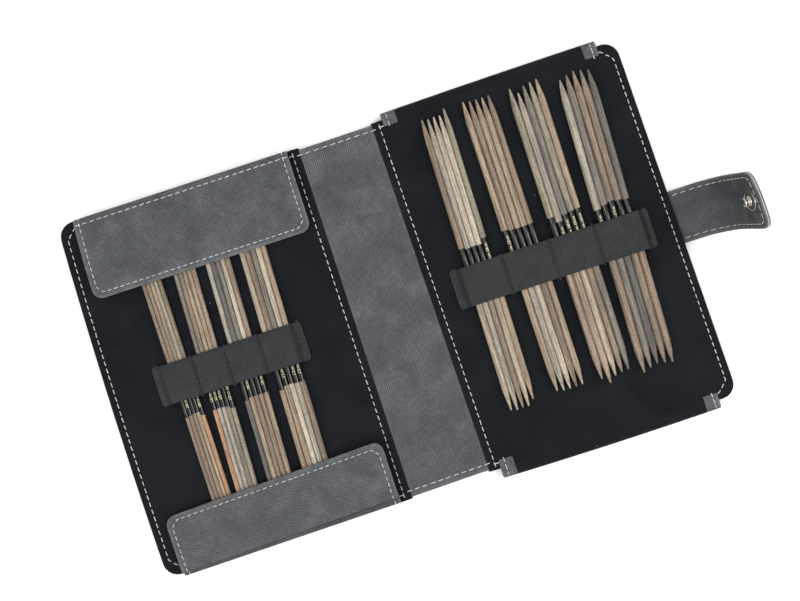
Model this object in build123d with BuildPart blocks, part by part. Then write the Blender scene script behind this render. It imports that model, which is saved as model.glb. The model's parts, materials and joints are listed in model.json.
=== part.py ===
from build123d import *
import os
from math import cos, degrees, radians, sin, tan

# A folding case for double-pointed knitting needles. It lies open on a table: X runs across
# the open case from the left cover to the right one, Y from its bottom edge to its top edge,
# and Z up. While it is built, X = 0 is the middle of the spine and Z = 0 is the table.

# ---------------------------------------------------------------- driving dimensions, mm
# covers and spine
end_room = 33.6  # what the case is higher than its needles are long
band_from_edge = 12.4  # from the right band to the cover's outer edge
corner_radius = 7.5
spine_width = 45.0  # from fold to fold
spine_height = 184.0
skin = 0.9  # grey outer skin
board = 1.6  # stiffener board
lining = 0.8  # black suede lining
rim = 5.2  # stitched rim between the board and an outer edge
fold_margin = 3.0  # from the board to the fold
fold_gap = 0.3  # between the rigid halves at a fold
board_corner = 5.0
bulge_margin = 0.4  # how far the board's bulge in the skin passes the board
bulge_slope = 25.0  # degrees, side of the bulge
soft_edge = 0.35  # rounding of cut leather edges
overlap_width = 2.5  # the lining's edge that laps over the spine strip
overlap_depth = 0.4

# needles: five of one size in each channel of the two bands
needle_length = 152.4
needle_taper = 12.0
needle_tip = 0.55  # radius of the blunt point
needle_sides = 16  # a round needle in flat facets
needle_spacing = 0.2  # between neighbours
loose_fit = 0.3  # around what lies or slides loosely

# channels from the fold outwards: the needles' size, the room beside them up to the
# stitched rows, and where each of them lies along Y, in order of X
left_channels = (
    (2.75, 5.05, (-11.9, -10.4, -10.2, -10.7, -10.7)),
    (2.50, 5.30, (-11.4, -10.4, -10.4, -10.4, -10.4)),
    (2.25, 3.35, (-10.9, -10.7, -10.9, -11.4, -12.7)),
    (2.00, 8.00, (-10.4, -9.9, -9.4, -9.4, -11.4)),
)
right_channels = (
    (3.00, 9.10, (10.5, 9.7, 10.0, 9.8, 12.5)),
    (3.25, 7.05, (12.5, 11.8, 11.7, 11.7, 11.8)),
    (3.50, 4.90, (11.4, 8.2, 10.9, 11.5, 12.0)),
    (3.75, 6.35, (7.8, 9.2, 10.1, 9.4, 8.7)),
)

# bands, each sewn down in rows of stitches across it
left_first_row = 26.7  # from the fold
right_first_row = 13.3
band_width = 20.0
band_thickness = 0.9
band_end = 3.2  # past the first and the last row
row_width = 1.8  # flat strip held down by a row of stitches
shoulder_radius = 1.0

# flaps: the left pair lies closed over the needles, the right pair is folded back
# under its cover
flap_from_fold = 3.3
flap_from_edge = 9.7
flap_depth = {"top": 42.0, "bottom": 32.0}
flap_corner = 5.0
flap_skin = 0.7
flap_lining = 0.6
hem_width = 8.0  # side and end edges turned over the lining
hem_thickness = 0.6
flap_root_thickness = 1.3

# strap: arched from the right cover's edge, with a flat stiff tip
strap_width = 27.4
strap_place = 0.5  # along Y
strap_thickness = 2.2
strap_corner = 4.0
strap_lift = 4.0  # degrees, slope where the strap leaves the cover
strap_radius = 24.2
strap_arc = 36.0  # length of the arched part
tip_length = 22.0
lean_from = 8.0  # height from which the strap leans towards the bottom edge
strap_lean = 5.1  # degrees

# snap fastener
snap_from_tip = 9.0
snap_from_edge = 11.5  # the socket's place on the left cover
snap_flange = 5.5
stud_base = 0.7
stud_height = 3.6
stud_head = 2.5
stud_neck = 1.6
stud_lip = 0.9  # thickness of the stud's head and of the collar at its foot
stud_slope = 0.3  # height of the slope under the head
flange_bead = 1.05  # width of the raised bead round the stud's flange
cap_radius = 6.2
cap_height = 1.4
cap_edge = 0.4
post_radius = 1.5
snug_fit = 0.1  # round the snap's post and beside the board's bulge
socket_radius = 6.0
socket_bore = 2.75
socket_shank = 3.6
socket_rounding = 0.6


# ---------------------------------------------------------------- worked out from them
def needle_run(size, places):
    """Width of the needles of one channel, side by side."""
    return len(places) * size + (len(places) - 1) * needle_spacing


def band_rows(first_row, channels):
    """Distances from the fold to a band's rows, one on each side of every channel."""
    rows = [first_row]
    for size, room, places in channels:
        rows.append(rows[-1] + needle_run(size, places) + room)
    return rows


left_rows = band_rows(left_first_row, left_channels)
right_rows = band_rows(right_first_row, right_channels)
channel_room = 2 * loose_fit  # beside and over the needles
cover_width = right_rows[-1] + band_end + band_from_edge  # from the fold to the outer edge
case_height = needle_length + end_room
flap_width = cover_width - flap_from_fold - flap_from_edge
flap_thickness = flap_skin + flap_lining + hem_thickness
skin_bottom = loose_fit + flap_thickness  # the covers lie on the flaps folded under them
board_bottom = skin_bottom + skin
board_top = board_bottom + board
cover_top = board_top + lining
rim_bottom = board_top - skin
fold_x = spine_width / 2
edge_x = fold_x + cover_width
edge_y = case_height / 2
bulge_spread = (rim_bottom - skin_bottom) * tan(radians(bulge_slope))
half_strap = strap_thickness / 2
strap_root_x = edge_x + loose_fit + half_strap
strap_root_z = rim_bottom - half_strap
bend_angle = strap_lift + degrees(strap_arc / strap_radius)
arc_x = strap_root_x - strap_radius * sin(radians(strap_lift))
arc_z = strap_root_z + strap_radius * cos(radians(strap_lift))
bend_x = arc_x + strap_radius * sin(radians(bend_angle))
bend_z = arc_z - strap_radius * cos(radians(bend_angle))
tip_rise = sin(radians(bend_angle))
snap_along = tip_length - snap_from_tip  # from the bend


def leaning(height):
    """How far the strap has leant towards the bottom edge at a height."""
    return (height - lean_from) * tan(radians(strap_lean))


snap_y = strap_place - leaning(bend_z + snap_along * tip_rise)

pieces = {}


def keep(label, piece):
    """Name a finished piece and put it with the others."""
    piece.part.label = label
    pieces[label] = piece.part


# ---------------------------------------------------------------- covers
def cover_outline(side, z, inset=0.0, fold_inset=fold_gap / 2, corner=corner_radius):
    """A cover's outline: square at the fold, round at its two outer corners."""
    near = fold_x + fold_inset
    far = edge_x - inset
    outer = -1 if side > 0 else 0
    with BuildSketch(Plane.XY.offset(z)) as outline:
        with Locations((side * (near + far) / 2, 0)):
            Rectangle(far - near, case_height - 2 * inset)
        fillet(outline.vertices().group_by(Axis.X)[outer], corner)
    return outline.sketch


def spine_outline(z, side_inset=fold_gap / 2, end_inset=0.0, corner=0.0):
    """The spine's outline between the two folds."""
    with BuildSketch(Plane.XY.offset(z)) as outline:
        Rectangle(spine_width - 2 * side_inset, spine_height - 2 * end_inset)
        if corner:
            fillet(outline.vertices(), corner)
    return outline.sketch


def board_outline(side, z, grow=0.0):
    """A cover's board, or the same outline grown by a margin."""
    return cover_outline(side, z, rim - grow, fold_margin - grow, board_corner + grow)


def spine_board_outline(z, grow=0.0):
    return spine_outline(z, fold_margin - grow, rim - grow, board_corner + grow)


def skin_tray(full, bulge, pocket):
    """Outer skin: a thin rim with the bulge that the board presses into it."""
    with BuildPart() as tray:
        extrude(full, amount=skin)
        outer_edges = tray.edges().filter_by(Plane.XY).group_by(Axis.Z)[0]
        fillet(outer_edges, soft_edge)
        extrude(bulge, amount=rim_bottom - skin_bottom, taper=-bulge_slope)
        extrude(pocket, amount=board, mode=Mode.SUBTRACT)
    return tray


def lining_sheet(outline):
    with BuildPart() as sheet:
        extrude(outline, amount=lining)
        fillet(sheet.edges().filter_by(Plane.XY).group_by(Axis.Z)[-1], soft_edge)
    return sheet


def cover_board(outline):
    with BuildPart() as stiffener:
        extrude(outline, amount=board)
    return stiffener


snap_x = -(edge_x - snap_from_edge)

for side, name in ((-1, "left"), (1, "right")):
    cover_skin = skin_tray(
        cover_outline(side, rim_bottom),
        board_outline(side, skin_bottom, bulge_margin),
        board_outline(side, board_bottom),
    )
    if name == "left":
        with BuildPart() as pierced_skin:
            add(cover_skin.part)
            with Locations((snap_x, snap_y, board_bottom)):
                Cylinder(
                    socket_shank,
                    skin,
                    align=(Align.CENTER, Align.CENTER, Align.MAX),
                    mode=Mode.SUBTRACT,
                )
        cover_skin = pierced_skin
    keep(f"{name}_skin", cover_skin)
    keep(f"{name}_board", cover_board(board_outline(side, board_bottom)))
    keep(f"{name}_lining", lining_sheet(cover_outline(side, board_top)))

# ---------------------------------------------------------------- spine
spine_skin = skin_tray(
    spine_outline(rim_bottom),
    spine_board_outline(skin_bottom, bulge_margin),
    spine_board_outline(board_bottom),
)
keep("spine_skin", spine_skin)
keep("spine_board", cover_board(spine_board_outline(board_bottom)))

# the strip's long edges are pressed down under the edges of the two linings
with BuildPart() as spine_strip:
    extrude(spine_outline(board_top), amount=lining)
    for side in (-1, 1):
        with Locations((side * (fold_x - overlap_width), 0, cover_top)):
            Box(
                overlap_width,
                case_height,
                overlap_depth,
                align=(Align.MIN if side > 0 else Align.MAX, Align.CENTER, Align.MAX),
                mode=Mode.SUBTRACT,
            )
keep("spine_strip", spine_strip)

lap_width = overlap_width - fold_gap / 2
for side, name in ((-1, "left"), (1, "right")):
    with BuildPart() as lining_edge:
        with BuildSketch(Plane.XY.offset(cover_top - overlap_depth)):
            with Locations((side * (fold_x - fold_gap / 2 - lap_width / 2), 0)):
                Rectangle(lap_width, spine_height)
        extrude(amount=overlap_depth)
    keep(f"spine_lining_edge_{name}", lining_edge)


# ---------------------------------------------------------------- bands and needles
def tent(middle, foot_width, roof_width, height):
    """Outline of one channel: a flat roof over the needles, sloping to the rows."""
    with BuildSketch(Plane.XZ) as outline:
        with BuildLine():
            Polyline(
                (middle - foot_width / 2, cover_top),
                (middle - roof_width / 2, cover_top + height),
                (middle + roof_width / 2, cover_top + height),
                (middle + foot_width / 2, cover_top),
                close=True,
            )
        make_face()
        roof_corners = outline.vertices().group_by(Axis.Z)[-1]
        fillet(roof_corners, shoulder_radius)
    return outline.sketch


def needle_band(side, rows, channels):
    """A leatherette strip, sewn down in rows, with a channel between each two of them."""
    near = fold_x + rows[0] - band_end
    far = fold_x + rows[-1] + band_end
    flare = 2 * band_thickness
    with BuildPart() as band:
        with BuildSketch(Plane.XZ):
            with Locations((side * (near + far) / 2, cover_top + band_thickness / 2)):
                Rectangle(far - near, band_thickness)
            for inner_row, outer_row, (size, room, places) in zip(rows, rows[1:], channels):
                middle = side * (fold_x + (inner_row + outer_row) / 2)
                foot = outer_row - inner_row - row_width
                roof = needle_run(size, places) + 2 * channel_room
                height = size + channel_room
                add(tent(middle, foot + flare, roof + flare, height + band_thickness))
                add(tent(middle, foot, roof, height), mode=Mode.SUBTRACT)
        extrude(amount=band_width / 2, both=True)
    return band


def needle(size):
    """One needle along Y, tapered to a blunt point at both ends."""
    straight = needle_length / 2 - needle_taper
    with BuildPart() as one:
        with BuildSketch(Plane.XZ):
            RegularPolygon(size / 2, needle_sides)
        extrude(amount=straight, both=True)
        for end in (-1, 1):
            with BuildSketch(Plane.XZ.offset(end * straight)) as foot:
                RegularPolygon(size / 2, needle_sides)
            with BuildSketch(Plane.XZ.offset(end * needle_length / 2)) as point:
                RegularPolygon(needle_tip, needle_sides)
            loft([foot.sketch, point.sketch], ruled=True)
    return one


def needle_set(middle, size, places):
    """Needles of one size, lying side by side on the lining."""
    step = size + needle_spacing
    first = middle - (len(places) - 1) / 2 * step
    height = cover_top + loose_fit + size / 2
    one = needle(size).part
    with BuildPart() as needles:
        with Locations([(first + i * step, place, height) for i, place in enumerate(places)]):
            add(one)
    return needles


for side, name, rows, channels in (
    (-1, "left", left_rows, left_channels),
    (1, "right", right_rows, right_channels),
):
    keep(f"{name}_band", needle_band(side, rows, channels))
    for number, (size, room, places) in enumerate(channels):
        middle = side * (fold_x + (rows[number] + rows[number + 1]) / 2)
        keep(f"{name}_needles_{number + 1}", needle_set(middle, size, places))


# ---------------------------------------------------------------- flaps
def flap_outline(side, end, depth, z, inset=0.0):
    """A flap's outline, open at the root edge: the inset leaves that edge alone."""
    across = side * (fold_x + flap_from_fold + flap_width / 2)
    length = depth - inset
    free_edge = 0 if end > 0 else -1
    with BuildSketch(Plane.XY.offset(z)) as outline:
        with Locations((across, end * (edge_y - length / 2))):
            Rectangle(flap_width - 2 * inset, length)
        corner = max(flap_corner - inset, soft_edge)
        fillet(outline.vertices().group_by(Axis.Y)[free_edge], corner)
    return outline.sketch


def flap_root(side, end, root_z, leaf_z):
    """The strip that carries a flap round the cover's edge, with a bead at the leaf's fold."""
    out = edge_y + loose_fit + flap_root_thickness / 2
    start = side * (fold_x + flap_from_fold + flap_width / 2) - flap_width / 2
    with BuildPart() as root:
        with BuildSketch(Plane.YZ.offset(start)):
            with Locations((end * out, (root_z + leaf_z) / 2)):
                Rectangle(flap_root_thickness, abs(leaf_z - root_z))
            with Locations((end * out, leaf_z)):
                Circle(flap_root_thickness / 2)
        extrude(amount=flap_width)
    return root


def flap_leaf(side, end, depth, bottom):
    """The leaf's outer skin, with hems turned over on three sides, and its lining."""
    lining_bottom = bottom + hem_thickness
    with BuildPart() as outer:
        extrude(flap_outline(side, end, depth, bottom), amount=flap_thickness)
        chamfer(outer.edges().filter_by(Plane.XY).group_by(Axis.Z)[-1], soft_edge)
        window = flap_outline(side, end, depth, bottom, hem_width)
        extrude(window, amount=hem_thickness, mode=Mode.SUBTRACT)
        pocket = flap_outline(side, end, depth, lining_bottom, flap_skin)
        extrude(pocket, amount=flap_lining, mode=Mode.SUBTRACT)
    with BuildPart() as inner:
        extrude(pocket, amount=flap_lining)
    return outer, inner


for side, name, channels in ((-1, "left", left_channels), (1, "right", right_channels)):
    thickest = max(size for size, room, places in channels)
    closed_bottom = cover_top + thickest + channel_room
    closed_middle = closed_bottom + flap_thickness / 2
    folded_middle = flap_thickness / 2
    # half a turn about the middle of the two levels takes a flap from one to the other;
    # folded, its root strip ends flush with the lining, so that needles pass over it
    if name == "left":
        leaf_middle = closed_middle
        root_z = closed_middle + folded_middle - cover_top
    else:
        leaf_middle = folded_middle
        root_z = cover_top
    for end, place in ((1, "top"), (-1, "bottom")):
        bottom = leaf_middle - flap_thickness / 2
        outer, inner = flap_leaf(side, end, flap_depth[place], bottom)
        keep(f"{name}_{place}_flap_root", flap_root(side, end, root_z, leaf_middle))
        keep(f"{name}_{place}_flap_outer", outer)
        keep(f"{name}_{place}_flap_lining", inner)

# ---------------------------------------------------------------- strap
strap_plane = Plane.XZ.offset(-strap_place)

# the strap's end is sewn under the right cover's rim, up to the board's bulge
anchor_length = rim - bulge_margin - bulge_spread - snug_fit
with BuildPart() as strap_anchor:
    with BuildSketch(strap_plane):
        with Locations((edge_x - anchor_length / 2, strap_root_z)):
            Rectangle(anchor_length, strap_thickness)
    extrude(amount=strap_width / 2, both=True)
keep("strap_anchor", strap_anchor)


def leaning_sides(low, high):
    """The strap seen from its tip between two heights: upright, then leaning."""
    top = strap_place - leaning(high)
    half = strap_width / 2
    return (
        (strap_place - half, low),
        (strap_place + half, low),
        (strap_place + half, lean_from),
        (top + half, high),
        (top - half, high),
        (strap_place - half, lean_from),
    )


middle_line = CenterArc((arc_x, arc_z), strap_radius, strap_lift - 90, bend_angle - strap_lift)


def arched_layer(mode):
    """One layer of the arched part: inside its middle line, or outside it."""
    with BuildPart() as layer:
        with BuildSketch(strap_plane):
            SlotArc(middle_line, strap_thickness)
            with Locations((arc_x, arc_z)):
                Circle(strap_radius, mode=mode)
        extrude(amount=strap_width, both=True)
        with BuildSketch(Plane.YZ.offset(strap_root_x - strap_thickness)):
            with BuildLine():
                Polyline(*leaning_sides(0, bend_z + strap_thickness), close=True)
            make_face()
        extrude(amount=strap_radius + 2 * strap_thickness, mode=Mode.INTERSECT)
    return layer


keep("strap_inner", arched_layer(Mode.INTERSECT))
keep("strap_outer", arched_layer(Mode.SUBTRACT))

# the tip's own frame: X along the tip from the bend, Z out of its inner face
tip_plane = Plane(
    origin=(bend_x, strap_place, bend_z),
    x_dir=(cos(radians(bend_angle)), 0, sin(radians(bend_angle))),
    z_dir=(-sin(radians(bend_angle)), 0, cos(radians(bend_angle))),
)

def tip_layer(low, high):
    """One layer of the flat tip, with the hole for the snap's post."""
    start = half_strap + loose_fit
    first, last = (leaning(bend_z + along * tip_rise) for along in (start, tip_length))
    half = strap_width / 2
    with BuildPart() as layer:
        with BuildSketch(tip_plane.offset(low)) as outline:
            with BuildLine():
                Polyline(
                    (start, half - first),
                    (tip_length, half - last),
                    (tip_length, -half - last),
                    (start, -half - first),
                    close=True,
                )
            make_face()
            end_corners = outline.vertices().sort_by(Axis(tip_plane.origin, tip_plane.x_dir))[-2:]
            fillet(end_corners, strap_corner)
            with Locations((snap_along, snap_y - strap_place)):
                Circle(post_radius + snug_fit, mode=Mode.SUBTRACT)
        extrude(amount=high - low)
    return layer


keep("strap_tip_inner", tip_layer(0, half_strap))
keep("strap_tip_outer", tip_layer(-half_strap, 0))


# ---------------------------------------------------------------- snap fastener
def turned(plane, profile):
    """A round piece turned about the plane's Y axis from its outline in radius and height."""
    with BuildPart() as round_piece:
        with BuildSketch(plane):
            with BuildLine():
                Polyline(*profile, close=True)
            make_face()
        revolve(axis=Axis(plane.origin, plane.y_dir))
    return round_piece


snap_centre = tip_plane.from_local_coords((snap_along, snap_y - strap_place, 0))
snap_plane = Plane(snap_centre, x_dir=tip_plane.x_dir, z_dir=-tip_plane.y_dir)
stud_top = half_strap + stud_height
foot = half_strap + stud_base

snap_stud = turned(
    snap_plane,
    (
        (0, half_strap),
        (snap_flange, half_strap),
        (snap_flange, foot - soft_edge),
        (snap_flange - soft_edge, foot),
        (snap_flange - flange_bead, foot - soft_edge),
        (stud_head, foot - soft_edge),
        (stud_head, foot + stud_lip / 2),
        (stud_neck, foot + stud_lip),
        (stud_neck, stud_top - stud_lip - stud_slope),
        (stud_head, stud_top - stud_lip),
        (stud_head, stud_top - stud_lip / 2),
        (stud_neck, stud_top),
        (0, stud_top),
    ),
)
keep("snap_stud", snap_stud)

rim_edge = (cap_radius, -half_strap - cap_edge)
crown = (0, -half_strap - cap_height)
with BuildPart() as snap_cap:
    with BuildSketch(snap_plane):
        with BuildLine():
            Polyline(
                crown,
                (0, half_strap),
                (post_radius, half_strap),
                (post_radius, -half_strap),
                (cap_radius, -half_strap),
                rim_edge,
            )
            TangentArc(crown, rim_edge, tangent=(1, 0))
        make_face()
    revolve(axis=Axis(snap_plane.origin, snap_plane.y_dir))
keep("snap_cap", snap_cap)

# the socket is set in the left cover's skin and opens downwards
with BuildPart() as snap_socket:
    with Locations((snap_x, snap_y, 0)):
        Cylinder(socket_radius, skin_bottom, align=(Align.CENTER, Align.CENTER, Align.MIN))
    chamfer(snap_socket.edges().group_by(Axis.Z)[0], socket_rounding)
    with Locations((snap_x, snap_y, skin_bottom)):
        Cylinder(socket_shank, skin, align=(Align.CENTER, Align.CENTER, Align.MIN))
    with Locations((snap_x, snap_y, 0)):
        Cylinder(
            socket_bore,
            board_bottom,
            align=(Align.CENTER, Align.CENTER, Align.MIN),
            mode=Mode.SUBTRACT,
        )
keep("snap_socket", snap_socket)

# ---------------------------------------------------------------- origin and export
# the origin is the middle of the footprint, on the table
box = Compound(list(pieces.values())).bounding_box()
to_origin = Location((-box.center().X, -box.center().Y, -box.min.Z))

os.makedirs("parts", exist_ok=True)
for label, piece in pieces.items():
    placed = piece.moved(to_origin)
    placed.label = label
    export_step(placed, f"parts/{label}.step")
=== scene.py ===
import json
import math

import bmesh
import bpy
import numpy as np
from mathutils import Matrix, Vector, noise


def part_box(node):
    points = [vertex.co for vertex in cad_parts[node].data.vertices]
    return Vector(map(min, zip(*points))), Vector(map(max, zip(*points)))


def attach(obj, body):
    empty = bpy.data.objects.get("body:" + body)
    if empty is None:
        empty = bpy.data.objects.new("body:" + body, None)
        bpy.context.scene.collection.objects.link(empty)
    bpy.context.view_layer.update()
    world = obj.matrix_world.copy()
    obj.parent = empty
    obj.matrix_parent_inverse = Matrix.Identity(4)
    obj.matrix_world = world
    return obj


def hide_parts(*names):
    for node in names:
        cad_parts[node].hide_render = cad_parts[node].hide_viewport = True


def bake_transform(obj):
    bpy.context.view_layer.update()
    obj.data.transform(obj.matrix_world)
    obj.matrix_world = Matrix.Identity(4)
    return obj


# A folding case for double-pointed knitting needles, lying open. Lengths here are in mm, in the
# row frame: X across the open case, Y from its bottom edge to its top edge, Z up.
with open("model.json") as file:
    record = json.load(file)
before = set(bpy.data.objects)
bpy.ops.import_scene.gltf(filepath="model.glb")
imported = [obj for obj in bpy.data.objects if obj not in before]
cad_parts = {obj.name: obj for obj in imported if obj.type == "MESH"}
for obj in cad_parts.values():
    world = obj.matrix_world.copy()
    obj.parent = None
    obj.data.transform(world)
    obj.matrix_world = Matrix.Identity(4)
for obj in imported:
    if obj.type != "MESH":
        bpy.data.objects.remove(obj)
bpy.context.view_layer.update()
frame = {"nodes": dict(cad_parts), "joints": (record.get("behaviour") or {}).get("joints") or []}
joints = {joint["name"]: joint for joint in frame["joints"]}
MM = 0.001


def box_mm(node):
    """Lowest and highest corner of a CAD node, in mm."""
    low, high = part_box(node)
    return np.array(tuple(low)) / MM, np.array(tuple(high)) / MM


# ------ places read from the frame
spine_low, spine_high = box_mm("spine_skin")
left_low, left_high = box_mm("left_lining")
right_low, right_high = box_mm("right_lining")
skin_low, _ = box_mm("left_skin")
top_z = left_high[2]  # upper face of the linings
under_z = skin_low[2]  # outer face of the boards' bulge
fold_x = {"left": (left_high[0] + spine_low[0]) / 2, "right": (right_low[0] + spine_high[0]) / 2}
outer_x = {"left": left_low[0], "right": right_high[0]}
edge_y = left_high[1]
cover_long = abs(outer_x["left"] - fold_x["left"])
side_of = {"left": -1, "right": 1}  # along X from the spine

skin_thick = 0.9
lining_thick = 0.8
rim_z = top_z - lining_thick - skin_thick  # outer face of the stitched rim
rim_width = 4.9
board_depth = rim_z - under_z
stitch_inset = 3.3
seam_out = 1.1  # from a fold to its row of stitches, on the cover's side
lap_edge = 2.5  # from a fold to the lining's cut edge, on the spine's side


# ------ meshes
def new_object(name, data):
    thing = bpy.data.objects.new(name, data)
    bpy.context.scene.collection.objects.link(thing)
    return thing


def evaluated_mesh(thing):
    """An object's mesh with its modifiers, or its text, worked out."""
    return bpy.data.meshes.new_from_object(thing.evaluated_get(bpy.context.evaluated_depsgraph_get()))


def make_object(name, points, faces, materials, kinds=None, uvs=None, values=None):
    """A smooth mesh object from points in mm. values are named numbers held by its vertices."""
    mesh = bpy.data.meshes.new(name)
    mesh.from_pydata([tuple(p) for p in np.asarray(points, float) * MM], [], faces)
    shell = bmesh.new()
    shell.from_mesh(mesh)
    bmesh.ops.recalc_face_normals(shell, faces=shell.faces)
    shell.to_mesh(mesh)
    shell.free()
    for material in materials:
        mesh.materials.append(material)
    if kinds is not None:
        mesh.polygons.foreach_set("material_index", kinds)
    mesh.polygons.foreach_set("use_smooth", [True] * len(mesh.polygons))
    mesh.set_sharp_from_angle(angle=math.radians(55))
    if uvs is not None:
        corners = np.zeros(len(mesh.loops), int)
        mesh.loops.foreach_get("vertex_index", corners)
        layer = mesh.uv_layers.new(name="Grain")
        layer.data.foreach_set("uv", np.asarray(uvs, float)[corners].ravel())
    for key, numbers in (values or {}).items():
        numbers = np.asarray(numbers, float)
        kind, field = ("FLOAT", "value") if numbers.ndim == 1 else ("FLOAT_COLOR", "color")
        mesh.attributes.new(key, kind, "POINT").data.foreach_set(field, numbers.ravel())
    mesh.update()
    return new_object(name, mesh)


def merged(parts):
    """Points and faces of several (points, faces) parts as one."""
    points, faces, start = [], [], 0
    for more_points, more_faces in parts:
        points.extend(more_points)
        faces.extend([tuple(i + start for i in face) for face in more_faces])
        start += len(more_points)
    return points, faces


def tube_faces(rings, count):
    """Faces between rings that follow one another, each of count points."""
    faces = []
    for k in range(rings - 1):
        for i in range(count):
            j = (i + 1) % count
            faces.append((k * count + i, k * count + j, (k + 1) * count + j, (k + 1) * count + i))
    return faces


def step_between(value, low, high):
    """0 below low, 1 above high, and a smooth step between them."""
    share = np.clip((np.asarray(value, float) - low) / (high - low), 0, 1)
    return share * share * (3 - 2 * share)


def wander(across, along, length, seed):
    """Smooth noise from -1 to 1 over a sheet, with features of about that length."""
    pairs = zip(np.broadcast_to(across, np.shape(along)), along)
    return np.array([noise.noise(Vector((a / length, t / length, seed))) for a, t in pairs])


# ------ lines that sheets follow
def rounded(points):
    """A line with its corners cut three times, so that it is a smooth curve."""
    line = np.array(points, float)
    for _ in range(3):
        first = 0.75 * line[:-1] + 0.25 * line[1:]
        second = 0.25 * line[:-1] + 0.75 * line[1:]
        middle = np.stack([first, second], 1).reshape(-1, line.shape[1])
        line = np.vstack([line[:1], middle, line[-1:]])
    return line


def lengths_along(line):
    """Distance of each point of a line from its start, along the line."""
    return np.concatenate([[0], np.cumsum(np.linalg.norm(np.diff(line, axis=0), axis=1))])


# how far the soft case lies out of square
left_edge_bow = (-0.52, 1.09, 1.29)  # the left outer edge along X, by powers of Y / edge_y
right_spread = 0.6  # the right outer edge along X
right_turn, right_fan = 0.0135, 0.008  # along X for each mm of Y, at the fold and more at the edge
top_bow, bottom_bow = 0.3, -0.7  # the right cover's long edges along Y, at their middle
bow_edge = (92, 95)  # Y where that bow starts, and where it is whole
top_rise, bottom_rise = (0.2, 1.8), (0.7, -1.3)  # along Y at the fold, and more at the outer edge


def askew(points):
    """The soft case doesn't lie square: its covers' edges bow, and the right cover is turned and
    spread a little."""
    x, y = points[:, 0], points[:, 1]
    high = y / edge_y
    out = np.clip((fold_x["left"] - x) / cover_long, 0, 1)
    x += out * sum(bow * high**power for power, bow in enumerate(left_edge_bow))
    beyond = step_between(x, fold_x["left"], fold_x["right"])
    out = np.clip((x - fold_x["right"]) / cover_long, 0, 1)
    x += (right_spread * out - y * (right_turn + right_fan * out)) * beyond
    top = (1 + high) / 2
    bow = 1 - (2 * np.clip((x - fold_x["right"]) / cover_long, 0, 1) - 1) ** 2
    bow *= top_bow * step_between(y, *bow_edge) + bottom_bow * step_between(-y, *bow_edge)
    y += bow * beyond
    upper, lower = [fold + more * out for fold, more in (top_rise, bottom_rise)]
    y += (top * upper + (1 - top) * lower) * beyond
    return points


def flat(run_start, run_sign, z, up=1, along_x=True, square=False):
    """A level sheet's placing: the run goes along X (or Y), and heights go up or down."""

    def place(across, along, height):
        run = run_start + run_sign * along
        level = np.full_like(run, z) + up * height
        points = np.stack([run, across, level] if along_x else [across, run, level], 1)
        return points if square else askew(points)

    return place


class Bend:
    """A sheet's placing along a curved line, whose shape may change from one side to the other.
    The sheet thins to a share of its thickness near the line's end. put makes points from their
    places across the line and in the line's plane."""

    thinning = (32, 24)  # where it starts and ends, from the line's end
    nearby = 0.004  # share of the line over which its direction is taken

    def __init__(self, near_line, far_line, low, high, put, flip=1, thins=1):
        self.near, self.far = rounded(near_line), rounded(far_line)
        self.low, self.high, self.put, self.flip, self.thins = low, high, put, flip, thins
        self.reach = lengths_along((self.near + self.far) / 2)
        self.length = self.reach[-1]
        self.shares = self.reach / self.length

    def _at(self, line, share):
        """Points of a line at shares of its length, and directions square to it."""

        def point(where):
            return np.stack([np.interp(where, self.shares, line[:, k]) for k in (0, 1)], 1)

        run = point(np.clip(share + self.nearby, 0, 1)) - point(np.clip(share - self.nearby, 0, 1))
        run /= np.linalg.norm(run, axis=1)[:, None]
        return point(share), np.stack([-run[:, 1], run[:, 0]], 1) * self.flip

    def __call__(self, across, along, height):
        share = np.clip(along / self.length, 0, 1)
        first, last = [self.length - away for away in self.thinning]
        height = height * (1 - (1 - self.thins) * step_between(along, first, last))
        mix = np.clip((across - self.low) / (self.high - self.low), 0, 1)[:, None]
        (near, near_up), (far, far_up) = self._at(self.near, share), self._at(self.far, share)
        up = near_up * (1 - mix) + far_up * mix
        up /= np.linalg.norm(up, axis=1)[:, None]
        bent = near * (1 - mix) + far * mix + up * height[:, None]
        return self.put(across, bent[:, 0], bent[:, 1])


# ------ sewn sheets
corner_steps = np.radians(np.linspace(90, 0, 6))
wear_reach = 0.9  # how far wear comes in from an edge
dense_step = 0.45  # between rows of points where a run bends sharply
cell_width = 2.5  # between columns of points inside the innermost ring
grain_climb = 0.7  # how far the grain moves on for each mm of height, down an edge


def half_ring(half, run, inset, corner, free, stations, columns, zone):
    """Half the outline of an inset sheet, from the middle of its far end round to its near end.
    Away from the ends, every ring of a sheet has its points at the same stations."""
    (start, end), (sides, near, far) = run, free
    width = half - inset * sides
    low, high = start + inset * near, end - inset * far
    near_round, far_round = [max(corner - inset, 0.2) if sides and f else 0.01 for f in (near, far)]

    def end_half(radius, along, way):
        """An end from its middle out to its corner, and round it."""
        row = [(f * (width - radius), along) for f in np.linspace(0, 1, columns)[:-1]]
        for q in corner_steps:
            row.append((width - radius + radius * math.cos(q), along + way * radius * (math.sin(q) - 1)))
        return row

    kept = [start, start + zone, end - zone, end]
    moved = [low + near_round, start + zone, end - zone, high - far_round]
    side = [(width, along) for along in np.interp(stations[::-1][1:-1], kept, moved)]
    return np.array(end_half(far_round, high, 1) + side + end_half(near_round, low, -1)[::-1])


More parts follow.
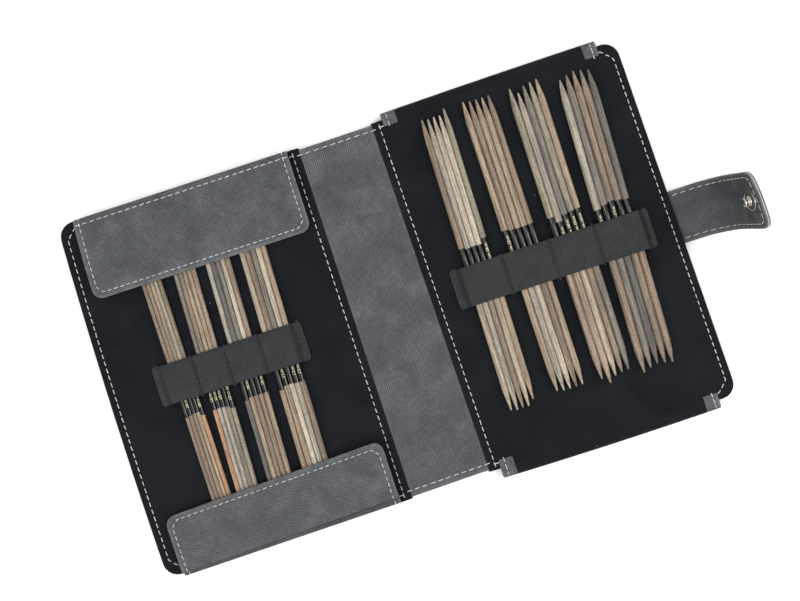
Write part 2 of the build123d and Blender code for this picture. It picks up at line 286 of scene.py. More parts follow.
def filling(outline, columns):
    """Points inside a ring, row by row between its two sides, and the faces over all of it.
    Points of the ring are numbered from 0 and the points inside follow them."""
    count, arc = len(outline), len(corner_steps)
    half = count // 2 + 1
    rows = half - 2 * (columns - 1) - 2 * arc
    width = outline[columns - 1 + arc][0]
    inside, numbers = [], {}
    for row in range(1, rows + 1):
        along = outline[columns - 2 + arc + row][1]
        for column in range(columns - 1):
            for side in (1, -1) if column else (1,):
                numbers[row, column, side] = count + len(inside)
                inside.append((side * width * column / (columns - 1), along))

    def ring(i, side):
        return i if side == 1 else (count - i) % count

    def point(row, column, side):
        if row == 0:
            return ring(column, side)
        if row == rows + 1:
            return ring(half - 1 - column, side)
        if column == columns - 1:
            return ring(columns - 2 + arc + row, side)
        return numbers[row, column, side if column else 1]

    faces = []
    for side in (1, -1):
        for row in range(rows + 1):
            for column in range(columns - 1):
                last = column == columns - 2
                face = [point(row, column, side), point(row, column + 1, side)]
                if last and row == 0:
                    face += [ring(columns - 1 + k, side) for k in range(1, arc)]
                if last and row == rows:
                    face += [ring(half - columns - arc + k, side) for k in range(arc)]
                else:
                    face.append(point(row + 1, column + 1, side))
                face.append(point(row + 1, column, side))
                faces.append(tuple(face[::side]))
    return np.array(inside), faces


def sheet(name, middle, half, run, rings, place, materials, free=(1, 1, 0), corner=5.0, dense=(),
          grain_turn=0.0, lift=None, shade=None, step=2.6):
    """A closed thin sheet built of rings. It is 2 * half wide, and its run goes from start to end.
    A ring is (inset from the free edges, height, material). free says whether the sides, the near
    end and the far end are free edges, dense names stretches of the run that bend sharply, and
    place puts (across, along, height) in the row frame."""
    start, end = run
    marks = [start, end] + list(np.arange(start, end, step))
    for low, high in dense:
        marks += list(np.arange(max(low, start), min(high, end), dense_step))
    stations = np.unique(np.round(np.array(marks), 3))
    limit = rings[0][0]
    columns = int(np.clip((half - limit) / cell_width + 2, 4, 30))
    zone = min(limit + corner, (end - start) / 2)
    parts = []  # points on the flat, with their inset, height, material and wear
    for inset, height, kind in rings:
        right = half_ring(half, run, inset, corner, free, stations, columns, zone)
        outline = np.vstack([right, right[-2:0:-1] * (-1, 1)])
        parts.append((outline, inset, height, kind, math.exp(-inset / wear_reach)))
    count = len(parts[0][0])
    faces = tube_faces(len(rings), count)
    face_kinds = [kind for _, _, kind in rings[1:] for _ in range(count)]
    total = count * len(rings)
    for k in (0, len(rings) - 1):
        inside, cells = filling(parts[k][0], columns)
        for cell in cells:
            faces.append(tuple(k * count + i if i < count else total + i - count for i in cell))
            face_kinds.append(rings[k][2])
        parts.append((inside, *rings[k], 0.0))
        total += len(inside)
    points, uvs, worn, shaded = [], [], [], []
    q = math.radians(grain_turn)
    turn = np.array([[math.cos(q), math.sin(q)], [-math.sin(q), math.cos(q)]])
    for outline, inset, height, kind, edge_wear in parts:
        across, along = outline[:, 0] + middle, outline[:, 1]
        level = np.full(len(outline), float(height))
        if lift:
            level += lift(outline[:, 0], along, inset, kind)
        points.append(place(across, along, level))
        sideways, onward = across + grain_climb * level, along + grain_climb * level
        uvs.append(np.stack([sideways, onward], 1) @ turn / 10)  # in cm
        worn.append(np.full(len(outline), edge_wear))
        shaded.append(shade(across, along) if shade else np.zeros(len(outline)))
    # the second value held is the painted shade that each point takes, from shade
    held = {"wear": np.concatenate(worn), "painted_crease_shade": np.concatenate(shaded)}
    return make_object(name, np.vstack(points), faces, materials, face_kinds, np.vstack(uvs), held)


def edge_rings(limit, thick, groove=None, depth=0.16, hem=None, lower=0, edge=0.5):
    """Rings of a sheet from the middle of its upper face, round its edge, to the middle of its
    lower face. hem is (width, thickness) of an edge turned over below, and lower the material
    of the lower face."""
    inner = [d for d in (7, 5, 4.2) if d < limit - 0.5]
    rings = [(d, 0, 0) for d in [limit] + inner]
    if groove:
        for away, share in ((0.8, 0.0), (0.35, 0.55), (0.0, 1.0), (-0.35, 0.55), (-0.8, 0.0)):
            rings.append((groove + away, -depth * share, 0))
    edge = min(edge, thick / 2)
    rings.append((1.3 * edge + 0.4, 0, 0))
    for turns, level, way in (((60, 35, 15, 0), -edge, 1), ((0, 20, 45, 90), -thick + edge, -1)):
        for q in np.radians(turns):
            rings.append((edge * (1 - math.cos(q)), level + way * edge * math.sin(q), 0))
    start, covered = -thick, 3.9
    if hem:
        width, turned = hem
        start, covered = turned - thick, width + 0.5
        rings += [(1.8, -thick, 0), (width - 0.3, -thick, 0)]
        rings += [(width, 0.25 - thick, 0), (width + 0.05, start, 0)]
    rings += [(d, start, lower) for d in inner[::-1] if d > covered]
    return rings + [(limit, start, lower)]


# ------ stitches
thread_sides = 7
usual_pitch = 3.7
thread_flat = 0.7  # a thread's height as a share of its width
place_jitter, tilt_jitter = 0.08, 2.2  # mm along the row, and degrees
dash_jitter = (0.93, 1.07)  # shares of a stitch's length
# half a stitch, from its end to its middle: place, height over the sheet, and thickness
half_thread = [(-0.5, -0.3, 0.45), (-0.42, 0.35, 0.85), (-0.2, 0.95, 1)]
thread_shape = half_thread + [(-share, height, thick) for share, height, thick in half_thread[::-1]]


def stitch_row(line, up, pitch=usual_pitch, dash=2.5, width=0.44, skew=3.0, seed=0, rise=0.16):
    """Points and faces of a row of stitches. Each is a short thread that dips into the sheet at
    both ends. line is the row in mm and up the sheet's outward direction at each of its points."""
    line, up = np.array(line, float), np.array(up, float)
    reach = lengths_along(line)
    number = max(int(reach[-1] // pitch), 1)
    pitch = reach[-1] / number
    if dash > pitch:  # a row too short for a whole stitch
        dash *= pitch / usual_pitch
    rng = np.random.default_rng(seed)
    parts = []

    def at(table, where):
        return np.array([np.interp(where, reach, table[:, k]) for k in range(3)])

    for i in range(number):
        middle = (i + 0.5) * pitch + rng.normal(0, place_jitter)
        long = dash * rng.uniform(*dash_jitter)
        tilt = math.radians(skew + rng.normal(0, tilt_jitter))
        out = at(up, middle)
        out /= np.linalg.norm(out)
        ahead = at(line, middle + long / 2) - at(line, middle - long / 2)
        ahead /= np.linalg.norm(ahead)
        side = np.cross(out, ahead)
        points = []
        for share, height, thick in thread_shape:
            centre = at(line, middle + share * long)
            centre = centre + side * math.sin(tilt) * share * long + out * rise * height
            swell = width / 2 * thick
            for k in range(thread_sides):
                q = 2 * math.pi * k / thread_sides
                over = out * swell * thread_flat * math.sin(q)
                points.append(centre + side * swell * math.cos(q) + over)
        ends = [range(thread_sides)[::-1], range(len(points))[-thread_sides:]]
        parts.append((points, tube_faces(len(thread_shape), thread_sides) + [tuple(end) for end in ends]))
    return merged(parts)


def placed_row(place, corners, height, facing, **settings):
    """A row of stitches along corners given as (across, along) on a placed sheet. facing is 1 on
    the sheet's upper face and -1 on its lower face."""
    corners = np.array(corners, float)
    reach = lengths_along(corners)
    step = 1.2
    where = np.arange(0, reach[-1] + step / 2, step)
    across = np.interp(where, reach, corners[:, 0])
    along = np.interp(where, reach, corners[:, 1])
    level = np.full(len(where), float(height))
    line = place(across, along, level)
    out = (place(across, along, level + 0.5) - line) * facing
    return stitch_row(line, out, **settings)


def mirrored(half_row, middle=0.0):
    """A row's corners, and their mirror images on the other side of its middle, in reverse."""
    return half_row + [(2 * middle - across, along) for across, along in half_row[::-1]]


# ------ materials
class Shader:
    """A material's nodes, made by short calls."""

    def __init__(self, name, **sockets):
        self.material = bpy.data.materials.new(name)
        self.material.use_nodes = True
        self.tree = self.material.node_tree
        self.out = self.tree.nodes["Principled BSDF"]
        for socket, value in sockets.items():
            self.out.inputs[socket.replace("_", " ")].default_value = value

    def join(self, value, socket):
        if isinstance(value, bpy.types.NodeSocket):
            self.tree.links.new(value, socket)
        else:
            socket.default_value = value

    def add(self, kind, settings=None, **inputs):
        """A node. An input is a value or another node's socket."""
        made = self.tree.nodes.new("ShaderNode" + kind)
        for key, value in (settings or {}).items():
            setattr(made, key, value)
        for key, value in inputs.items():
            self.join(value, made.inputs[key.replace("_", " ")])
        return made

    def grain(self):
        """Coordinates on a sheet, in cm."""
        return self.add("UVMap", {"uv_map": "Grain"}).outputs[0]

    def place(self):
        """Coordinates in the row frame, in metres."""
        return self.add("TexCoord").outputs["Object"]

    def noise(self, vector, scale, detail=3.0, rough=0.55, warp=0.0):
        inputs = {"Vector": vector, "Scale": scale, "Detail": detail, "Roughness": rough, "Distortion": warp}
        return self.add("TexNoise", None, **inputs).outputs[0]

    def streaks(self, vector, scales, detail, rough, warp=0.0, turn=0.0):
        """Noise with its own scale along X, Y and Z, turned about Z."""
        made = self.add("Mapping", None, Vector=vector)
        made.inputs["Scale"].default_value = scales
        made.inputs["Rotation"].default_value = (0, 0, math.radians(turn))
        return self.noise(made.outputs[0], 1.0, detail, rough, warp)

    def ramp(self, factor, *stops):
        """Colours or grey values between stops (position, value)."""
        made = self.add("ValToRGB", None, Fac=factor)
        elements = made.color_ramp.elements
        while len(elements) < len(stops):
            elements.new(0.5)
        for element, (position, value) in zip(elements, stops):
            element.position = position
            element.color = value if hasattr(value, "__len__") else (value, value, value, 1)
        return made.outputs[0]

    def mix(self, factor, first, second, blend="MIX"):
        made = self.add("Mix", {"data_type": "RGBA", "blend_type": blend})
        for value, number in ((factor, 0), (first, 6), (second, 7)):
            self.join(value, made.inputs[number])
        return made.outputs[2]

    def times(self, first, second):
        """A colour multiplied by another colour or by a grey value."""
        return self.mix(1.0, first, second, "MULTIPLY")

    def math(self, operation, first, second, third=0.5):
        made = self.add("Math", {"operation": operation})
        for socket, value in zip(made.inputs, (first, second, third)):
            self.join(value, socket)
        return made.outputs[0]

    def value(self, name):
        """A number that the mesh's vertices hold."""
        return self.add("Attribute", {"attribute_name": name}).outputs["Fac"]

    def finish(self, colour, roughness=None, relief=None):
        """The material. relief is (height, distance, strength)."""
        self.join(colour, self.out.inputs["Base Color"])
        if roughness:
            self.join(roughness, self.out.inputs["Roughness"])
        if relief:
            made = self.add("Bump", None, Height=relief[0], Distance=relief[1], Strength=relief[2])
            self.join(made.outputs[0], self.out.inputs["Normal"])
        return self.material


def srgb(red, green, blue):
    """A colour from 0 to 255 as Blender's linear values."""

    def linear(value):
        value = value / 255
        return value / 12.92 if value <= 0.04045 else ((value + 0.055) / 1.055) ** 2.4

    return (linear(red), linear(green), linear(blue), 1.0)


def grey_leather(name, deep=0.66, shade=1.0):
    """Polyurethane leather printed and embossed like worn denim: a fine twill under clouds."""
    s = Shader(name, Roughness=0.62, Specular_IOR_Level=0.32)
    grain = s.grain()

    def ribs(direction, scale, warp, detail_scale):
        settings = {"wave_type": "BANDS", "bands_direction": direction, "wave_profile": "SIN"}
        inputs = {"Scale": scale, "Distortion": warp, "Detail": 2.0, "Detail_Scale": detail_scale}
        return s.add("TexWave", settings, Vector=grain, **inputs).outputs["Fac"]

    clouds = s.noise(grain, 0.55, 5, 0.6, 0.6)
    patches = s.noise(grain, 2.1, 4, 0.6, 0.3)
    cloudy = s.math("MULTIPLY_ADD", patches, 0.35, s.math("MULTIPLY", clouds, 0.65))
    base = s.ramp(cloudy, (0.34, srgb(53, 55, 58)), (0.5, srgb(66, 68, 71)), (0.66, srgb(82, 83, 86)))
    twill = ribs("Y", 3.2, 1.4, 2.4)
    weft = ribs("X", 4.4, 2.2, 2.0)
    broken = s.math("MULTIPLY", twill, s.ramp(s.noise(grain, 9.0, 3, 0.7), (0.3, 0.35), (0.62, 1.0)))
    broken = s.math("MULTIPLY", broken, s.ramp(weft, (0.1, 0.72), (0.5, 1.0)))
    # shade below 1 darkens this copy of the leather all over: painted shade
    lines = s.ramp(broken, (0.05, deep * shade), (0.7, (2.2 - deep) * shade))
    fine = s.ramp(s.noise(grain, 34.0, 2, 0.6), (0.3, 0.8), (0.7, 1.2))
    mottle = s.ramp(s.noise(grain, 5.5, 4, 0.7), (0.34, 0.84), (0.66, 1.15))
    tone = s.times(s.times(base, lines), s.times(fine, mottle))
    worn = s.math("MULTIPLY", s.value("wear"), s.ramp(patches, (0.4, 0.25), (0.62, 0.75)))
    # painted shade: where a sheet holds it, the leather darkens to 0.3 of its tone
    tone = s.mix(s.value("painted_crease_shade"), tone, s.times(tone, (0.3, 0.3, 0.31, 1)))
    colour = s.mix(worn, tone, srgb(112, 113, 115))
    roughness = s.ramp(patches, (0.35, 0.52), (0.65, 0.7))
    height = s.math("ADD", s.math("MULTIPLY", broken, 0.7), s.math("MULTIPLY", fine, 0.3))
    return s.finish(colour, roughness, (height, 0.00012, 0.75))


def black_suede():
    """Near-black brushed lining with a soft nap and a little lint."""
    s = Shader("black_suede", Roughness=0.95, Specular_IOR_Level=0.1, Sheen_Weight=0.03, Sheen_Roughness=0.5)
    grain = s.grain()
    nap = s.noise(grain, 0.32, 4, 0.55, 0.8)
    fibre = s.streaks(grain, (38, 60, 1), 2, 0.7)
    base = s.ramp(nap, (0.32, srgb(16, 18, 21)), (0.68, srgb(24, 26, 30)))
    tone = s.times(base, s.ramp(fibre, (0.3, 0.82), (0.72, 1.25)))
    dots = s.add("TexVoronoi", {"feature": "F1"}, Vector=grain, Scale=0.95, Randomness=1.0)
    near = s.math("LESS_THAN", dots.outputs["Distance"], 0.028)
    chosen = s.math("GREATER_THAN", s.noise(grain, 0.9, 0, 0.5), 0.57)
    colour = s.mix(s.math("MULTIPLY", near, chosen), tone, srgb(112, 114, 118))
    return s.finish(colour, None, (fibre, 0.0001, 0.6))


def black_leatherette():
    """Dark grey soft leatherette with a pebbled grain."""
    s = Shader("black_leatherette", Roughness=0.6, Specular_IOR_Level=0.3)
    grain = s.grain()
    cells = s.add("TexVoronoi", {"feature": "SMOOTH_F1"}, Vector=grain, Scale=14.0, Smoothness=0.4)
    pebble = cells.outputs["Distance"]
    base = s.ramp(s.noise(grain, 1.3, 4, 0.6, 0.4), (0.34, srgb(28, 30, 32)), (0.66, srgb(35, 37, 39)))
    worn = s.mix(s.math("MULTIPLY", s.value("wear"), 0.5), base, srgb(30, 31, 33))
    colour = s.mix(0.5, worn, s.ramp(pebble, (0.1, 1.15), (0.6, 0.8)), "MULTIPLY")
    roughness = s.ramp(pebble, (0.2, 0.5), (0.6, 0.68))
    return s.finish(colour, roughness, (s.math("SUBTRACT", 1.0, pebble), 0.00008, 0.7))


def spun_thread(name, dark, light):
    """Spun thread: tone and relief change along it."""
    s = Shader(name, Roughness=0.7, Sheen_Weight=0.2)
    where = s.place()
    strands = s.noise(where, 3200, 2, 0.6)
    longer = s.noise(where, 260, 2, 0.5)
    tone = s.math("MULTIPLY_ADD", strands, 0.6, s.math("MULTIPLY", longer, 0.4))
    return s.finish(s.ramp(tone, (0.35, dark), (0.6, light)), None, (strands, 0.0001, 0.6))


def birch():
    """Laminated birch: each needle's own tone, streaked along its length, black in the middle."""
    s = Shader("laminated_birch", Specular_IOR_Level=0.42)
    where = s.place()
    tone = s.add("Attribute", {"attribute_name": "tone"}).outputs["Color"]
    layers = s.streaks(where, (1500, 30, 1500), 3, 0.6, 0.3)
    fibres = s.streaks(where, (4200, 240, 4200), 2, 0.6)
    patches = s.streaks(where, (300, 42, 300), 3, 0.6)
    flecks = s.streaks(where, (5200, 900, 5200), 1, 0.5)
    wood = s.times(tone, s.ramp(layers, (0.32, (0.44, 0.45, 0.48, 1)), (0.64, (1.2, 1.19, 1.17, 1))))
    wood = s.times(wood, s.ramp(fibres, (0.3, 0.62), (0.68, 1.25)))
    wood = s.times(wood, s.ramp(flecks, (0.35, 0.72), (0.6, 1.15)))
    wood = s.mix(s.ramp(patches, (0.58, 0.0), (0.76, 0.3)), wood, srgb(176, 132, 92))
    lacquer = s.value("lacquer")
    # grey streaks along the black middle: partly scuffs, partly painted highlight lines standing in for the
    # lamps' reflections
    scuffs_and_highlight = s.ramp(s.streaks(where, (2600, 160, 2600), 2, 0.6), (0.56, 0.0), (0.72, 1.0))
    colour = s.mix(lacquer, wood, s.mix(scuffs_and_highlight, srgb(10, 10, 12), srgb(66, 66, 70)))
    roughness = s.math("MULTIPLY_ADD", lacquer, -0.34, s.ramp(fibres, (0.3, 0.46), (0.7, 0.58)))
    height = s.math("MULTIPLY", fibres, s.math("SUBTRACT", 1.0, lacquer))
    return s.finish(colour, roughness, (height, 0.00005, 0.5))


def gold_print():
    """Gold foil print, a little broken."""
    s = Shader("gold_print", Metallic=0.2, Roughness=0.45)
    worn = s.noise(s.place(), 2600, 3, 0.6)
    return s.finish(s.ramp(worn, (0.35, srgb(150, 138, 92)), (0.6, srgb(234, 221, 172))))


def nickel():
    """Bright nickel plating with fine scratches."""
    s = Shader("nickel_snap", Metallic=1.0)
    scratches = s.streaks(s.place(), (900, 5200, 900), 4, 0.6, turn=20)
    colour = s.ramp(scratches, (0.3, srgb(168, 164, 154)), (0.7, srgb(214, 210, 198)))
    roughness = s.ramp(scratches, (0.3, 0.16), (0.7, 0.34))
    return s.finish(colour, roughness, (scratches, 0.00002, 0.4))


def cardboard():
    """Grey-brown bookbinding board."""
    s = Shader("stiffener_board", Roughness=0.9)
    fibres = s.streaks(s.place(), (600, 2200, 600), 5, 0.7)
    colour = s.ramp(fibres, (0.3, srgb(132, 120, 102)), (0.7, srgb(164, 152, 132)))
    return s.finish(colour, None, (fibres, 0.00008, 0.5))


def plain_tone(name, roughness, scale, detail, rough, dark, light):
    """A material of one tone that changes a little from place to place."""
    s = Shader(name, Roughness=roughness)
    return s.finish(s.ramp(s.noise(s.place(), scale, detail, rough), (0.3, dark), (0.7, light)))


leather, suede, leatherette = grey_leather("grey_leather"), black_suede(), black_leatherette()
# a darker copy of the grey leather for the upright strap: painted shade for the less light it gets as it
# faces sideways, with a softer twill
shaded_strap_leather = grey_leather("shaded_strap_leather", 0.8, 0.8)
white_thread = spun_thread("white_thread", srgb(140, 142, 146), srgb(206, 207, 209))
black_thread = spun_thread("black_thread", srgb(14, 14, 16), srgb(40, 41, 44))
wood, gold, metal, board = birch(), gold_print(), nickel(), cardboard()
strap_core = plain_tone("strap_core", 0.8, 900, 3, 0.6, srgb(176, 178, 180), srgb(214, 215, 216))


# ------ finishing a piece
def finished(thing, rides, slot, *replaced):
    """A piece that rides on a body, whose name rides is; where rides is (first body, second body, start,
    end) in mm, the piece stays where it is, with its placing baked into its mesh. slot is not used. It may
    stand for CAD nodes, which it hides."""
    if isinstance(rides, str):
        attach(thing, rides)
    else:
        first, second, start, end = rides
        [c * MM for c in start]
        [c * MM for c in end]
        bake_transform(thing)
    if replaced:
        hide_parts(*replaced)


def sewn(name, rows, rides, slot="grey_leather", thread=white_thread):
    """One piece of several rows of stitches."""
    finished(make_object(name, *merged(rows), [thread]), rides, slot)


def pierced(thing, centre, radius):
    """Cuts a round hole down through a piece."""
    cutter = bmesh.new()
    place = Matrix.Translation(Vector(centre) * MM)
    size = {"radius1": radius * MM, "radius2": radius * MM, "depth": 12 * MM}
    bmesh.ops.create_cone(cutter, cap_ends=True, segments=32, matrix=place, **size)
    mesh = bpy.data.meshes.new("cutter")
    cutter.to_mesh(mesh)
    cutter.free()
    tool = new_object("cutter", mesh)
    cut = thing.modifiers.new("hole", "BOOLEAN")
    cut.operation, cut.object, cut.solver = "DIFFERENCE", tool, "EXACT"
    made = evaluated_mesh(thing)
    thing.modifiers.remove(cut)
    old, thing.data = thing.data, made
    bpy.data.objects.remove(tool)
    bpy.data.meshes.remove(mesh)
    bpy.data.meshes.remove(old)


# ------ covers
socket_low, socket_high = box_mm("snap_socket")
snap_hole = (socket_low + socket_high) / 2
cover_corner = 7.5
hole_radius = 3.4  # in the left cover's outer skin, round the socket
skin_back = 1.2  # from a fold to the outer skin's end
end_gap = 0.4  # from a fold to the end of the stitches round a cover
row_side = edge_y - stitch_inset
row_low = stitch_inset + 0.3
row_cut = 5.2  # how far a row of stitches cuts off each of a cover's corners
seam_short = 1.2  # how far the stitches of a fold's seam end from a cover's edge
rim_edge = (rim_width - 0.5, rim_width + 0.9)  # where a bulge rises, from a cover's rim
fold_edge = (2.2, 3.4)  # and from a fold
# where an outer skin's rings of points lie closer, at its sides and at its fold
bulge_side, bulge_end = (rim_width - 1, rim_width + 1.5), (cover_long - 4, cover_long)


def soft_lining(across, along, inset, kind):
    """The lining isn't quite flat: it waves a little away from its edge."""
    return 0.1 * wander(across, along, 26, 3.1) * step_between(inset, 2.0, 9.0)


def bulge(from_rim, from_fold, kind):
    """A board shows through its outer skin as a soft plateau, and not on the skin's inner face."""
    risen = step_between(from_rim, *rim_edge) * step_between(from_fold, *fold_edge)
    return (1 - kind) * board_depth * risen


def cover_bulge(across, along, inset, kind):
    return bulge(np.minimum(edge_y - np.abs(across), along), cover_long - along, kind)


def round_cover(place, end, seed):
    """The row of stitches round a cover, cut across its two outer corners."""
    half_row = [(row_side, end), (row_side, row_low + row_cut), (row_side - row_cut, row_low)]
    return placed_row(place, mirrored(half_row), 0, 1, seed=seed)


root_low, root_high = box_mm("right_top_flap_root")
for name, sign in side_of.items():
    body = f"{name}_cover"
    above = flat(outer_x[name], -sign, top_z)
    below = flat(outer_x[name], -sign, rim_z, up=-1)
    lining = sheet(
        f"{name}_lining_soft", 0, edge_y, (0, cover_long - 0.2), edge_rings(9, lining_thick, stitch_inset),
        above, [suede], corner=cover_corner, lift=soft_lining, grain_turn=4,
    )
    finished(lining, body, "black_suede", f"{name}_lining")
    rings = edge_rings(9, skin_thick, stitch_inset, lower=1)
    skin = sheet(
        f"{name}_skin_soft", 0, edge_y, (0, cover_long - skin_back), rings, below, [leather, leather],
        corner=cover_corner, lift=cover_bulge, grain_turn=72, dense=[bulge_side, bulge_end],
    )
    if name == "left":
        pierced(skin, (snap_hole[0], snap_hole[1], 0.0), hole_radius)
    finished(skin, body, "grey_leather", f"{name}_skin")
    whole = cover_long - end_gap
    if name == "left":
        rows = [round_cover(above, whole, 4)]
    else:
        # over the flaps' roots the row is hidden under them
        rows = [round_cover(above, outer_x["right"] - root_high[0] + 0.6, 5)]
        near, far = cover_long - (root_low[0] - fold_x["right"]) - 0.2, cover_long - 0.2
        for end in (-row_side, row_side):
            rows.append(placed_row(above, [(end, near), (end, far)], 0.15, 1, seed=9, dash=2.8))
    rows.append(round_cover(below, whole, 6))
    seam = [(end * (edge_y - seam_short), cover_long - seam_out) for end in (-1, 1)]
    rows.append(placed_row(above, seam, 0.12, 1, seed=7))
    rows.append(placed_row(below, seam, 0.1, 1, seed=8))
    sewn(f"{name}_cover_stitches", rows, body)

# ------ spine
spine_half = (fold_x["right"] - fold_x["left"]) / 2
spine_mid = (fold_x["right"] + fold_x["left"]) / 2
spine_end = spine_high[1]
spine_run = (0, 2 * spine_end)
spine_above = flat(-spine_end, 1, top_z, along_x=False)
spine_below = flat(-spine_end, 1, rim_z, up=-1, along_x=False)
lapped = spine_half - lap_edge  # half the grey strip's width that shows
strip_rows = (3.4, 2 * spine_end - 2.9)  # its rows of stitches, from its bottom end
strip_thread = {"pitch": 4.1, "dash": 2.9}


def strip_shape(across, along, inset, kind):
    """The grey strip dips under the linings' edges and waves a little near its ends."""
    dip = -0.4 * step_between(np.abs(across), lapped - 0.9, lapped + 0.4)
    return dip + 0.12 * wander(across, along, 17, 8.4) * step_between(inset, 0.5, 4) - 0.06


def spine_bulge(across, along, inset, kind):
    return bulge(np.minimum(along, 2 * spine_end - along), spine_half - np.abs(across), kind)


strip = sheet(
    "spine_strip_soft", spine_mid, spine_half - 0.3, spine_run, edge_rings(4, lining_thick), spine_above,
    [leather], free=(1, 1, 1), corner=0.4, lift=strip_shape, grain_turn=-57, step=2.0,
)
finished(strip, "spine", "grey_leather", "spine_strip")
rings = edge_rings(4, skin_thick, lower=1)
skin = sheet(
    "spine_skin_soft", spine_mid, spine_half - skin_back, spine_run, rings, spine_below, [leather, leather],
    free=(1, 1, 1), corner=0.4, lift=spine_bulge, dense=[bulge_side], grain_turn=14,
)
finished(skin, "spine", "grey_leather", "spine_skin")
rows = []
for place in (spine_above, spine_below):
    for along in strip_rows:
        ends = [(spine_mid - spine_half + 0.2, along), (spine_mid + spine_half - 0.2, along)]
        rows.append(placed_row(place, ends, 0.1, 1, seed=int(along), **strip_thread))
sewn("spine_stitches", rows, "spine")

# ------ seams at the two folds
seam_run = 6.0  # width of a lap and of a fold's skin
fold_soft = 0.9  # how far the bend reaches to each side of a fold
seam_settings = {"free": (1, 1, 1), "corner": 0.3, "dense": [(0, seam_run)]}


def lap_shape(across, along, inset, kind):
    """The lap is a thin edge on the spine's side and sinks into the lining on the cover's."""
    groove = -0.1 * np.exp(-(((along - lap_edge - seam_out) / 0.5) ** 2))
    return groove - 0.35 * step_between(along, lap_edge + 2.2, seam_run)


def fold_shape(across, along, inset, kind):
    """Both edges of the fold's skin sink into the skins beside it."""
    return -0.25 * (1 - step_between(np.minimum(along, seam_run - along), 0.2, 1.4))


for name, sign in side_of.items():
    fold, half = fold_x[name], edge_y - 0.15
    span = [(fold + way * sign * fold_soft, 0, top_z) for way in (-1, 1)]
    rides = ("spine", f"{name}_cover", *span)
    lap_place = flat(fold - sign * lap_edge, sign, top_z + 0.1)
    lap = sheet(
        f"{name}_seam_lining", 0, half, (0, seam_run), edge_rings(2.4, 0.5, edge=0.2), lap_place, [suede],
        lift=lap_shape, **seam_settings,
    )
    finished(lap, rides, "black_suede", f"spine_lining_edge_{name}")
    below = flat(fold - sign * seam_run / 2, sign, rim_z - 0.12, up=-1)
    skin = sheet(
        f"{name}_fold_skin", 0, half, (0, seam_run), edge_rings(2.4, 0.7, edge=0.25), below, [leather],
        lift=fold_shape, grain_turn=60, **seam_settings,
    )
    finished(skin, rides, "grey_leather")

# ------ needle bands
needle_spacing = 0.2  # in the CAD
needle_gap = 0.02  # as they lie
needles_in_set = 5
# each set: how far it lies from its place in X and how far it turns, then its needles in order of
# X: tones of their upper and lower halves, and which of them carry their printed size
needle_sets = {
    "left_needles_4": (1.4, 0.0, "bbtab", "bbbto", (1, 4)),
    "left_needles_3": (0.0, 0.0341, "gbttr", "oaagv", (0, 1, 2, 4)),
    "left_needles_2": (0.4, 0.0365, "adgcb", "dtbbt", (1, 4)),
    "left_needles_1": (0.0, 0.0308, "sbgct", "ttcab", (1, 3, 4)),
    "right_needles_1": (-0.15, 0.0155, "baccv", "sabst", (4,)),
    "right_needles_2": (-0.4, -0.002, "tbttb", "tacbt", (0,)),
    "right_needles_3": (0.05, 0.005, "vagvt", "rtsbg", (1, 2, 3, 4)),
    "right_needles_4": (-1.0, 0.0323, "agbbd", "bgdbb", (0, 2)),
}
band_thick = 0.9
band_room = 0.8  # over the needles
row_dip = 1.0  # where a row of stitches pulls a band down
end_row = 2.4  # from a band's end to its last row of stitches
black_stitch = {"pitch": 2.5, "dash": 1.5, "width": 0.5, "skew": 14}
# thread ends left where a row stops: how many, how far they turn, their lengths and their place
tails_left, tail_turn, tail_long, tail_spread = 4, 1.2, (0.7, 1.9), 0.7


def needle_sizes(side):
    """(middle x, diameter) of each set of needles of one cover, from its fold outwards."""
    found = []
    for name in [f"{side}_needles_{number}" for number in (1, 2, 3, 4)]:
        low, high = box_mm(name)
        found.append(((low[0] + high[0]) / 2 + needle_sets[name][0], high[2] - low[2]))
    return found


def band_height(x, sets, rows, low, high):
    """Height of a band over the lining: it is drawn flat over its needles, pulled down a little at
    each row of stitches and down to the cover at its two ends."""
    sets = sorted(sets)
    level = np.interp(x, [m for m, _ in sets], [size + band_room for _, size in sets])
    for middle, size in sets:
        ripple = 0.05 * np.cos(2 * np.pi * (x - middle) / (size + needle_gap))
        level += ripple * (np.abs(x - middle) < size * needles_in_set / 2)
    for row in rows:
        level -= row_dip * np.exp(-(((x - row) / 0.75) ** 2))
    return level * step_between(np.minimum(x - low, high - x), end_row, 6.6)


